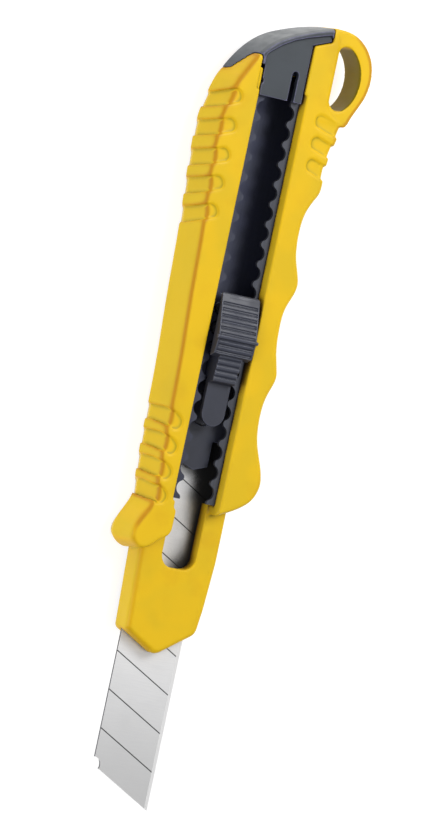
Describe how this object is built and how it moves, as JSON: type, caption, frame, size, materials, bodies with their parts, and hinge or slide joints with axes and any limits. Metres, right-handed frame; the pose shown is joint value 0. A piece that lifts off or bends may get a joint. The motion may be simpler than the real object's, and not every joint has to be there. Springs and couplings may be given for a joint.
{
  "type": "snap-off utility knife",
  "caption": "Utility knife with a snap-off blade that slides in a toothed steel rail, a ribbed locking thumb slider, a finger-grooved grip, a lanyard loop and an end cap.",
  "frame": {"origin": "on the flat back face, on the blade's centre line, at mid-handle, 80 mm behind the nose tip", "axes": "+Z out of the front face, +Y to the rear along the blade, +X to the finger-groove side"},
  "size_m": [0.0427, 0.2001, 0.0149],
  "materials": {
    "grip_plastic": "satin yellow moulding",
    "core_plastic": "satin yellow moulding, a little deeper",
    "cap_plastic": "satin dark grey moulding",
    "slider_plastic": "satin dark grey moulding",
    "rail_steel": "rolled sheet",
    "blade_steel": "ground across"
  },
  "bodies": {
    "handle": {"handle_core": "core_plastic", "grip_shell": "grip_plastic", "channel_rail": "rail_steel"},
    "cap": {"end_cap": "cap_plastic"},
    "slider": {"blade": "blade_steel", "blade_carrier": "slider_plastic", "blade_stud": "rail_steel", "return_spring": "rail_steel"},
    "button": {"lock_plate": "rail_steel", "thumb_button": "slider_plastic"}
  },
  "joints": [
    {"name": "slider_slide", "type": "slide", "parent": "handle", "child": "slider", "axis": [0, 1, 0], "range_m": [-0.01515, 0.04545]},
    {"name": "button_press", "type": "slide", "parent": "slider", "child": "button", "axis": [0, 0, -1], "range_m": [0, 0.001], "stiffness_N_per_m": 600, "springref_m": -0.0005, "deforming": ["return_spring"]},
    {"name": "cap_pull", "type": "slide", "parent": "handle", "child": "cap", "axis": [0, 1, 0], "range_m": [0, 0.022]}
  ]
}
